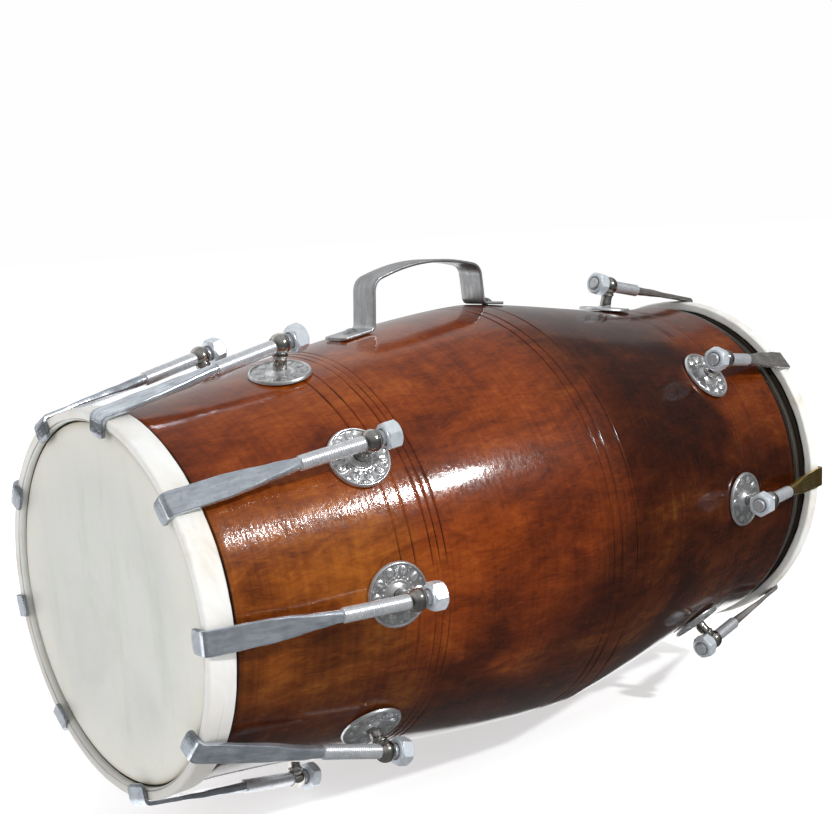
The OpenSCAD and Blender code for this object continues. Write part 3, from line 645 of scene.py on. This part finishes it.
def make_hook(e, k):
    R, O, reach, tilt = rod_frame(e, k)
    rng = np.random.default_rng(100 * e + k)
    neck = reach - THREAD[e]
    scale = neck / 62.9
    place = []
    # centre line in the hook's own frame (z along the rod, x out): claw, bend, strap up to the rod
    tip = -DROP
    path, frames, size = [], [], []
    mid = CORNER + GAP + STRAP_T / 2
    ct, st = math.cos(tilt), math.sin(tilt)

    def unturn(s, rad):  # from the hoop's own frame
        return np.array([rad * ct - s * st, s * ct + rad * st])  # x, z

    for rad in np.linspace(tip, 0, 9):
        path.append(unturn(-mid, rad))
        frames.append(unturn(-1, 0))  # outward normal
        d = rad - tip
        w = STRAP_W - (2 * (2.6 - math.sqrt(max(0, 2.6 ** 2 - (2.6 - d) ** 2))) if d < 2.6 else 0)
        size.append((w, 2.05 if d > 0.3 else 1.5, 0.45))
    a0, a1 = math.radians(180), math.pi / 2
    for u in np.linspace(0, 1, 12)[1:]:
        # from facing along the drum's end to facing along the strap
        n0 = np.array([-st * -1 * 0 + 0, 0])
        ang0 = math.atan2(unturn(-1, 0)[1], unturn(-1, 0)[0])
        ang = ang0 * (1 - u)
        nrm = np.array([math.cos(ang), math.sin(ang)])
        path.append(nrm * mid)
        frames.append(nrm)
        size.append((STRAP_W, STRAP_T, 0.5))
    steps = [(0.5, 12, 2.2, 0.5), (6, 12, 2.2, 0.5), (12, 12, 2.25, 0.5), (17, 12, 2.4, 0.5), (22, 11.7, 2.6, 0.55), (27, 11.2, 2.9, 0.6), (32, 10.7, 3.2, 0.7),
             (36, 10.2, 3.5, 0.8), (40, 9.5, 3.8, 0.9), (44, 8.5, 4.1, 1.0), (48, 7.7, 4.4, 1.2), (52, 7.2, 4.7, 1.5), (56, 6.6, 5.0, 1.8), (59.5, 6.2, 5.3, 2.2), (62.9, 6.1, 5.6, 2.6)]
    zs = np.concatenate([np.array([s[0] for s in steps[:1]]), np.linspace(2, 62.9, 42)])
    tab = np.array(steps)
    for z in zs:
        w, t, r = (np.interp(z, tab[:, 0], tab[:, i]) for i in (1, 2, 3))
        path.append(np.array([OFF, z * scale]))
        frames.append(np.array([1.0, 0.0]))
        size.append((w, t, r))
    rings, dark = [], []
    ph = rng.random(8) * 6.28
    for i, (c, n, (w, t, r)) in enumerate(zip(path, frames, size)):
        zpos = c[1]
        sec = section(w, t, 6, r)
        # a little uneven, as forged and filed
        if zpos > 1:
            fade = min(1, (zpos - 1) / 8) * min(1, max(0, (neck - zpos) / 6))
            sec[:, 1] *= 1 + fade * 0.018 * math.sin(zpos / 4.3 + ph[0]) + fade * 0.012 * math.sin(zpos / 2.1 + ph[1])
            sec[:, 0] += fade * (0.10 * np.sin(sec[:, 1] / 2.2 + ph[2] + zpos / 5) + 0.07 * math.sin(zpos / 2.7 + ph[3])) * (np.abs(sec[:, 0]) > 0.2)
        x = c[0] + n[0] * sec[:, 0]
        z = c[1] + n[1] * sec[:, 0]
        rings.append(np.stack([x, sec[:, 1], z], 1))
        # the claw's face is painted dark, standing for the dark room it reflects, and the paint fades out over its bend
        dark.append(np.full(len(sec), 0.82 if i < 8 else (0.4, 0.05)[i - 8] if i < 10 else 0.0))
    b = Build()
    V, F = tube(rings)
    O2 = O - OFF * R[:, 0] - reach * R[:, 2]
    b.add(V @ R.T + O2, F, place=V + [17 * k, 31 * e, 0], mask=np.concatenate(dark + [[0.82, 0.0]]))
    n_strap = len(F)
    # threaded rod through the eye and the nut, chamfered at its end
    start, stop, pitch, seg = neck - 0.6, reach + BALL_R + GAP + NUT_H + 1.0, 1.25, 28
    zz = np.arange(start, stop, pitch / 5)
    th = np.arange(seg) * 2 * math.pi / seg
    Z, T = np.meshgrid(zz, th, indexing="ij")
    f = (Z / pitch - T / (2 * math.pi)) % 1.0
    depth = 0.13 * np.abs(2 * f - 1) ** 1.3
    ends = np.clip((Z - start) / 1.2, 0, 1) * np.clip((stop - Z) / 1.0, 0, 1)
    rad = ROD_R - 0.02 - depth * np.clip((Z - start) / 1.5, 0, 1)
    rad = np.minimum(rad, ROD_R - 1.0 + 1.0 * np.clip((stop - Z) / 1.1, 0, 1))
    rad = np.minimum(rad, 3.1 + 0.7 * np.clip((Z - start) / 0.7, 0, 1))
    rings = np.stack([OFF + rad * np.cos(T), rad * np.sin(T), Z], -1)
    V, F = tube(rings)
    # mask paints shade in the thread roots
    b.add(V @ R.T + O2, F, place=V + [17 * k, 31 * e, 0], mask=np.concatenate([(np.clip(depth / 0.13, 0, 1) * 0.12).reshape(-1), [0, 0.0]]))
    ob = b.object(f"{ENDS[e]}_hook_{k + 1}_forged", 28)
    bright = HOOK if e == 0 else (BRASSY if k == 2 else HOOK_SHADED)
    dress(ob, bright, ROD)
    idx = np.zeros(len(ob.data.polygons), dtype=np.int32)
    idx[n_strap:] = 1
    ob.data.polygons.foreach_set("material_index", idx)
    name = f"{ENDS[e]}_hook_{k + 1}"
    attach(ob, name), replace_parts(ob, name), ob


def make_nut(e, k):
    R, O, reach, tilt = rod_frame(e, k)
    n = 120
    t = np.arange(n) * 2 * math.pi / n
    hexa = NUT_R * math.cos(math.pi / 6) / np.cos((t + math.pi / 6) % (math.pi / 3) - math.pi / 6)
    z0, h, bore = BALL_R + GAP, NUT_H, ROD_R + RUN
    rows = [(0.7, bore, 0), (0.0, bore + 0.7, 0), (0.0, 5.6, 0), (0.0, 6.05, 0), (0.12, 6.2, 0), (0.55, 6.2, 0), (0.6, 6.35, 1)]
    rows += [(z, 6.45 + (z - 0.6) * 1.15, 1) for z in (0.75, 0.95, 1.15, 1.35, 1.6)]
    rows += [(z, 9.0, 1) for z in np.linspace(1.8, h - 2.0, 6)]
    rows += [(h - 1.8, 7.75, 1), (h - 1.5, 7.35, 1), (h - 1.2, 7.0, 1), (h - 0.9, 6.68, 1), (h - 0.6, 6.36, 1), (h - 0.35, 6.05, 1), (h - 0.12, 5.65, 0), (h, 5.2, 0), (h, bore + 0.75, 0), (h - 0.75, bore, 0)]
    rings = []
    for z, r, cut in rows:
        rad = np.minimum(hexa, r) if cut else np.full(n, r)
        rings.append(np.stack([rad * np.cos(t), rad * np.sin(t), np.full(n, z0 + z)], 1))
    rings = np.array(rings)
    V = rings.reshape(-1, 3)
    turn = math.radians((37 * (k + 1) + 11 * e) % 60)
    Rz = np.array([[math.cos(turn), -math.sin(turn), 0], [math.sin(turn), math.cos(turn), 0], [0, 0, 1]])
    W = V @ Rz.T
    b = Build()
    # mask paints shade inside the bore at both faces
    m = np.zeros(len(rows))
    m[0], m[-1] = 1, 1
    b.add(W @ R.T + O, grid(len(rows), n, ring=True), place=V + [13 * k, 29 * e, 0], mask=np.repeat(m, n))
    ob = b.object(f"{ENDS[e]}_nut_{k + 1}_chamfered", 24)
    dress(ob, NUT)
    name = f"{ENDS[e]}_nut_{k + 1}"
    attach(ob, name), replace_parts(ob, name), ob


# ---------------------------------------------------------------- eye bolts and washers
def make_eye_bolts(e):
    b = Build()
    bore = ROD_R + RUN
    lim = math.degrees(math.asin(bore / BALL_R))
    top = BALL_R * math.cos(math.radians(lim))
    ball = [(bore, z) for z in (top - 0.35, 0, -(top - 0.35))]
    ball += arc(0, 0, BALL_R, -(90 - lim) + 4, (90 - lim) - 4, 26)
    for k, angle in enumerate(ANGLES[e]):
        R, O = rod_frame(e, k)[:2]
        V, F = lathe(ball, 56)
        b.add(V @ R.T + O, F, place=V + [13 * k, 7 * e, 0])
        R, O = post_frame(e, angle)
        p = post_len[e]
        prof = [(0, -p - 26), (3.2, -p - 26), (3.2, -p + 1.0), (3.55, -p + 1.6), (3.62, -p + 5.0), (3.5, -p + 6.2), (3.42, -p + 7.4), (3.5, -6.9),
                (3.75, -6.3), (4.15, -5.9), (4.3, -5.5), (4.2, -5.0), (3.7, -4.6), (0, -4.5)]
        prof = [(0, prof[0][1])] + [q for q in prof[1:-1]] + [(0, prof[-1][1])]
        V, F = lathe(prof, 48, axis_ends=True)
        b.add(V @ R.T + O, F, place=V + [13 * k, 7 * e, 0])
    ob = b.object(ENDS[e] + "_eye_bolts_turned", 34)
    dress(ob, EYE)
    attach(ob, "drum"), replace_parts(ob, ENDS[e] + "_eye_bolts"), ob


def emboss(r, t):
    """Height in millimetres of the pressed rosette, and how deep in shadow its ground lies."""
    s = lambda v: np.clip(v, 0, 1) ** 2 * (3 - 2 * np.clip(v, 0, 1))
    h = 0.95 + 0 * r
    rim = np.exp(-((r - 15.5) / 0.62) ** 4)
    h = h + 0.85 * rim
    # ten curled petals, each a loop with a sunk vein
    u = (t * 10 / (2 * math.pi) + 0.10 * np.sin((r - 9) * 0.55)) % 1.0 - 0.5
    px, py = u * 2 * math.pi * r / 10, r - 11.7
    d = np.hypot(px / 2.45, py / 2.9)
    petal = s((1 - d) * 2.2)
    h = h + 0.75 * petal - 0.42 * np.exp(-((px - 0.28 * py) / 0.42) ** 2) * s((0.78 - d) * 4)
    # buds between the petals at the rim side and small scrolls inside
    u2 = (t * 10 / (2 * math.pi) + 0.5) % 1.0 - 0.5
    bud = np.exp(-(((u2 * 2 * math.pi * r / 10) / 0.8) ** 2 + ((r - 14.0) / 0.7) ** 2))
    u3 = (t * 20 / (2 * math.pi)) % 1.0 - 0.5
    scroll = np.exp(-(((u3 * 2 * math.pi * r / 20) / 0.55) ** 2 + ((r - 8.4) / 0.6) ** 2))
    h = h + 0.5 * bud + 0.45 * scroll
    hub = np.clip((6.6 - r) / 3.0, 0, 1)
    h = h + 1.7 * hub ** 1.6 + 0.35 * np.exp(-((r - 7.0) / 0.35) ** 2)
    ground = (1 - s(d * 0 + petal * 1.4)) * (r < 14.9) * (r > 7.6) * (1 - bud) * (1 - scroll)
    return h, ground


def make_washers(e):
    b = Build()
    n = 150
    rr = np.concatenate([[3.62, 3.9, 4.3, 4.8, 5.4, 6.0, 6.5], np.linspace(6.8, 14.6, 25), [14.85, 15.05, 15.3, 15.6, 15.9, 16.15, 16.3, 16.4]])
    for k, angle in enumerate(ANGLES[e]):
        R, O = seat_frame(e, angle, SEAT[e])
        spin = math.radians((53 * k + 17 * e) % 36)
        t = np.arange(n) * 2 * math.pi / n
        G, T = np.meshgrid(rr, t, indexing="ij")
        h, ground = emboss(G, T + spin)
        edge = np.clip((16.4 - G) / 0.35, 0, 1)
        h = 0.35 + (h - 0.35) * np.sqrt(edge)
        top = np.stack([G * np.cos(T), G * np.sin(T), h], -1)
        low_r = np.array([16.4, 16.1, 3.3, 3.3])
        low_z = np.array([0.15, 0.0, 0.0, 2.4])
        low = np.stack([low_r[:, None] * np.cos(t), low_r[:, None] * np.sin(t), np.repeat(low_z[:, None], n, 1)], -1)
        rings = np.concatenate([top, low])
        V = rings.reshape(-1, 3)
        mask = np.concatenate([(0.38 * ground).reshape(-1), np.zeros(4 * n)])
        b.add(V @ R.T + O, grid(len(rings), n, ring=True), place=V + [37 * k, 41 * e, 0], mask=mask)
    ob = b.object(ENDS[e] + "_washers_embossed", 55)
    dress(ob, PLATE)
    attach(ob, "drum"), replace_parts(ob, ENDS[e] + "_washers"), ob


# ---------------------------------------------------------------- carrying handle
def make_handle():
    left, right, sl, sr, top, slant, th, wd = 174.5, 255.5, 163.5, 265.5, 148.5, 3.5, 1.8, 19.0

    def foot(s, x):
        k = shell_r(s + 0.5) - shell_r(s - 0.5)
        return shell_r(s) + 0.1 + th / 2 * math.sqrt(1 + k * k) + k * (x - s)

    pts = np.array([[left - 23, foot(sl, left - 23)], [left - 1, foot(sl, left - 1)], [left + 1, top - slant], [(left + right) / 2, top - slant / 2 + 10],
                    [right - 1, top], [right + 1, foot(sr, right + 1)], [right + 18, foot(sr, right + 18)]])
    soft = [0, 3, 6, 30, 6, 3, 0]
    line = [pts[0]]
    for i in range(1, len(pts) - 1):
        u, v = pts[i - 1] - pts[i], pts[i + 1] - pts[i]
        a, c = pts[i] + u / np.linalg.norm(u) * soft[i], pts[i] + v / np.linalg.norm(v) * soft[i]
        for q in np.linspace(0, 1, 13):
            line.append(a * (1 - q) ** 2 + pts[i] * 2 * q * (1 - q) + c * q * q)
    line.append(pts[-1])
    line = np.array(line)
    seg = np.r_[0, np.cumsum(np.linalg.norm(np.diff(line, axis=0), axis=1))]
    u = np.unique(np.r_[np.linspace(0, seg[-1], 150), [0.3, 0.8, 1.6, 2.6], seg[-1] - np.array([0.3, 0.8, 1.6, 2.6])])
    c = np.stack([np.interp(u, seg, line[:, 0]), np.interp(u, seg, line[:, 1])], 1)
    d = np.gradient(c, u, axis=0)
    d /= np.linalg.norm(d, axis=1)[:, None]
    nrm = np.stack([-d[:, 1], d[:, 0]], 1)
    rings, place = [], []
    for i, (q, nn) in enumerate(zip(c, nrm)):
        end = min(u[i], u[-1] - u[i])
        w = wd - (2 * (3 - math.sqrt(max(0, 9 - (3 - end) ** 2))) if end < 3 else 0)
        sec = section(w, th - 0.04, 6, 0.62)
        # the strip is rolled, with edges a hair thicker than its middle
        sec[:, 0] *= 1 - 0.10 * np.cos(np.clip(sec[:, 1] / (w / 2), -1, 1) * math.pi / 2)
        x = q[0] + nn[0] * sec[:, 0]
        r = q[1] + nn[1] * sec[:, 0]
        rings.append(np.stack([x - L / 2, sec[:, 1] + 0.12 * math.sin(u[i] / 31), H + r], 1))
        place.append(np.stack([sec[:, 0] + 3, sec[:, 1], np.full(len(sec), u[i])], 1))
    V, F = tube(rings)
    place = np.concatenate(place + [np.array([[3, 0, 0], [3, 0, u[-1]]])])
    # painted shade along the top, standing for a darker reflection there
    top_shade = np.append(np.repeat(0.48 * np.clip((c[:, 1] - (top - slant - 5)) / 6, 0, 1), len(rings[0])), [0, 0])
    b = Build()
    b.add(V, F, place=place, mask=top_shade)
    ob = b.object("carry_handle_strap", 40)
    dress(ob, STRAP)
    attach(ob, "drum"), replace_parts(ob, "carry_handle"), ob
    # slotted round-head screws
    b = Build()
    n = 96
    for s, spin in ((sl, 0.6), (sr, 2.0)):
        R, O = seat_frame(0, 90, s)
        t = np.arange(n) * 2 * math.pi / n
        rr = np.concatenate([np.linspace(0.02, 4.2, 40), [4.3, 4.34]])
        G, T = np.meshgrid(rr, t, indexing="ij")
        z = th + np.maximum(-3.2 + np.sqrt(np.maximum(0, 5.4 ** 2 - G ** 2)), 0.02)
        slot = np.clip((0.5 - np.abs(G * np.sin(T + spin))) / 0.10, 0, 1)
        z = np.maximum(z - 0.95 * slot, th + 0.01)
        head = np.stack([G * np.cos(T), G * np.sin(T), z], -1)[::-1]
        rl, zl = np.array([4.3, 1.9, 1.9, 0.9, 0.05]), np.array([th - 0.05, th - 0.05, -8.5, -10.6, -11.0])
        low = np.stack([rl[:, None] * np.cos(t), rl[:, None] * np.sin(t), np.repeat(zl[:, None], n, 1)], -1)
        rings = np.concatenate([low[::-1], head])
        V, F = tube(rings)
        # mask paints shade in the slot
        mask = np.concatenate([np.zeros(5 * n), (slot[::-1] * 0.8).reshape(-1), [0, 0]])
        b.add(V @ R.T + O, F, place=V, mask=mask)
    ob = b.object("handle_screws_slotted", 40)
    dress(ob, SCREW)
    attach(ob, "drum"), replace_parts(ob, "handle_screws"), ob


make_shell()
for e in (0, 1):
    make_head(e)
    make_wrap(e)
    make_eye_bolts(e)
    make_washers(e)
    for k in range(len(ANGLES[e])):
        make_hook(e, k)
        make_nut(e, k)
make_handle()

for name in ("treble_flesh_hoop", "bass_flesh_hoop", "treble_counter_hoop", "bass_counter_hoop", "inner_washers", "inner_nuts"):
    dress(nodes[name], CORE)
dress(nodes["bass_tuning_paste"], PASTE)


# ---------------------------------------------------------------- floor, light and camera
def flat(name, x0, x1, y0, y1, z):
    me = bpy.data.meshes.new(name)
    me.from_pydata([(x0, y0, z), (x1, y0, z), (x1, y1, z), (x0, y1, z)], [], [(0, 1, 2, 3)])
    ob = bpy.data.objects.new(name, me)
    scene.collection.objects.link(ob)
    return ob


def stage_material(name, colour, glow=0.0, only_seen=False):
    m = Mat(name)
    f = m.noise(m.co, (3, 3, 3), 3, 0.5)
    m.set(Base_Color=m.ramp(f, [(0.3, tuple(c * 0.985 for c in colour)), (0.7, colour)]), Roughness=0.9)
    m.b.inputs["Specular IOR Level"].default_value = 0.1
    m.b.inputs["Emission Color"].default_value = (1, 1, 1, 1)
    m.put(m.b.inputs["Emission Strength"], m.math("MULTIPLY", m.new("ShaderNodeLightPath").outputs["Is Camera Ray"], glow) if only_seen else glow)
    return m.m


floor = flat("studio_floor", -14, 14, -14, 14, -0.0005)
dress(floor, stage_material("pale_floor", (0.86, 0.86, 0.86), 0.52, True))
floor.visible_glossy = False
card = flat("under_card", -0.9, 0.9, -0.030, 1.3, -0.0004)
dress(card, stage_material("white_card", (0.85, 0.85, 0.86), 1.05))
card.visible_camera = card.visible_diffuse = card.visible_shadow = card.visible_transmission = False


def area(name, place, target, size, power, colour=(1, 1, 1), glossy=True):
    data = bpy.data.lights.new(name, "AREA")
    data.shape = "DISK"
    data.size, data.energy, data.color = size, power, colour
    ob = bpy.data.objects.new(name, data)
    ob.location = place
    ob.rotation_mode = "QUATERNION"
    ob.rotation_quaternion = (Vector(target) - Vector(place)).to_track_quat("-Z", "Y")
    ob.visible_glossy = glossy
    scene.collection.objects.link(ob)
    return ob


def towards(az, el, dist, target=(0, 0, H * MM)):
    """A place that far from the target, seen from it at that compass angle from -Y towards -X, and elevation."""
    a, q = math.radians(az), math.radians(el)
    return Vector(target) + dist * Vector((-math.sin(a) * math.cos(q), -math.cos(a) * math.cos(q), math.sin(q)))


area("key_lamp", towards(-20.5, 33.5, 1.5), (0, 0, H * MM), 0.09, 13.5)
area("fill_lamp", towards(70, 18, 1.9), (-0.1, 0, H * MM), 1.1, 10, glossy=False)

world = bpy.data.worlds.new("studio")
scene.world = world
world.use_nodes = True
t = world.node_tree
t.nodes.clear()
out = t.nodes.new("ShaderNodeOutputWorld")


def wnode(kind, **kw):
    n = t.nodes.new(kind)
    for a, v in kw.items():
        setattr(n, a, v)
    return n


def wmath(op, a, b=0.0, c=0.0):
    n = wnode("ShaderNodeMath", operation=op)
    for i, v in enumerate((a, b, c)):
        if isinstance(v, bpy.types.NodeSocket):
            t.links.new(v, n.inputs[i])
        else:
            n.inputs[i].default_value = v
    return n.outputs[0]


def wband(v, a, b, lo=0.0, hi=1.0):
    n = wnode("ShaderNodeMapRange", interpolation_type="SMOOTHSTEP")
    t.links.new(v, n.inputs["Value"])
    n.inputs["From Min"].default_value, n.inputs["From Max"].default_value = a, b
    n.inputs["To Min"].default_value, n.inputs["To Max"].default_value = lo, hi
    return n.outputs[0]


direction = wnode("ShaderNodeTexCoord").outputs["Generated"]
sep = wnode("ShaderNodeSeparateXYZ")
t.links.new(direction, sep.inputs[0])
dx, dy, dz = sep.outputs
# elevation in the plane across the drum: a bright wall stands behind it, up to about 60 degrees, and the room in front is dark
steep = wmath("ARCTAN2", dz, dy)
wall = wmath("MULTIPLY", wband(steep, math.radians(62), math.radians(57)), wband(steep, math.radians(-8), math.radians(-2)))
gloss = wmath("MULTIPLY_ADD", wall, 0.46, wband(dz, -0.2, 0.95, 0.13, 0.44))
# the side of the room that the treble head faces is darker
gloss = wmath("MULTIPLY", gloss, wband(dx, -0.55, -0.95, 1.0, 0.30))
gloss = wmath("MULTIPLY", gloss, wband(dx, 0.50, 0.90, 1.0, 0.40))
path = wnode("ShaderNodeLightPath")
level = wmath("MULTIPLY_ADD", path.outputs["Is Camera Ray"], 0.99, 0.0)
even = wband(dz, -0.3, 1.0, 0.46, 0.62)
other = wmath("SUBTRACT", 1.0, wmath("MAXIMUM", path.outputs["Is Camera Ray"], path.outputs["Is Glossy Ray"]))
level = wmath("ADD", level, wmath("MULTIPLY", path.outputs["Is Glossy Ray"], gloss))
level = wmath("ADD", level, wmath("MULTIPLY", other, even))
back = wnode("ShaderNodeBackground")
back.inputs["Color"].default_value = (1, 1, 1, 1)
t.links.new(level, back.inputs["Strength"])
t.links.new(back.outputs[0], out.inputs[0])

# camera, from the perspective fitted to the photograph
AZ, EL, ROLL, YAW, PITCH, DIST = (math.radians(40.79), math.radians(12.98), math.radians(-3.11), math.radians(0.96), math.radians(-1.34), 0.79474)
place = DIST * np.array([-math.sin(AZ) * math.cos(EL), -math.cos(AZ) * math.cos(EL), math.sin(EL)]) + [0, 0, H * MM]
a2, e2 = AZ + YAW, EL + PITCH
fwd = np.array([math.sin(a2) * math.cos(e2), math.cos(a2) * math.cos(e2), -math.sin(e2)])
right = np.cross(fwd, [0, 0, 1])
right /= np.linalg.norm(right)
up = np.cross(right, fwd)
Rv = right * math.cos(ROLL) + up * math.sin(ROLL)
Uv = -right * math.sin(ROLL) + up * math.cos(ROLL)
cam_data = bpy.data.cameras.new("camera")
cam_data.sensor_width = 36.0
cam_data.lens = 1325.65 / 832 * 36.0
cam_data.shift_x, cam_data.shift_y = -50 / 832, 80 / 832
cam_data.clip_start, cam_data.clip_end = 0.01, 60
cam_data.dof.use_dof = False
cam = bpy.data.objects.new("camera", cam_data)
cam.matrix_world = Matrix([[Rv[i], Uv[i], -fwd[i], place[i]] for i in range(3)] + [[0, 0, 0, 1]])
scene.collection.objects.link(cam)
scene.camera = cam
scene.view_settings.view_transform = "Standard"
scene.view_settings.look = "None"
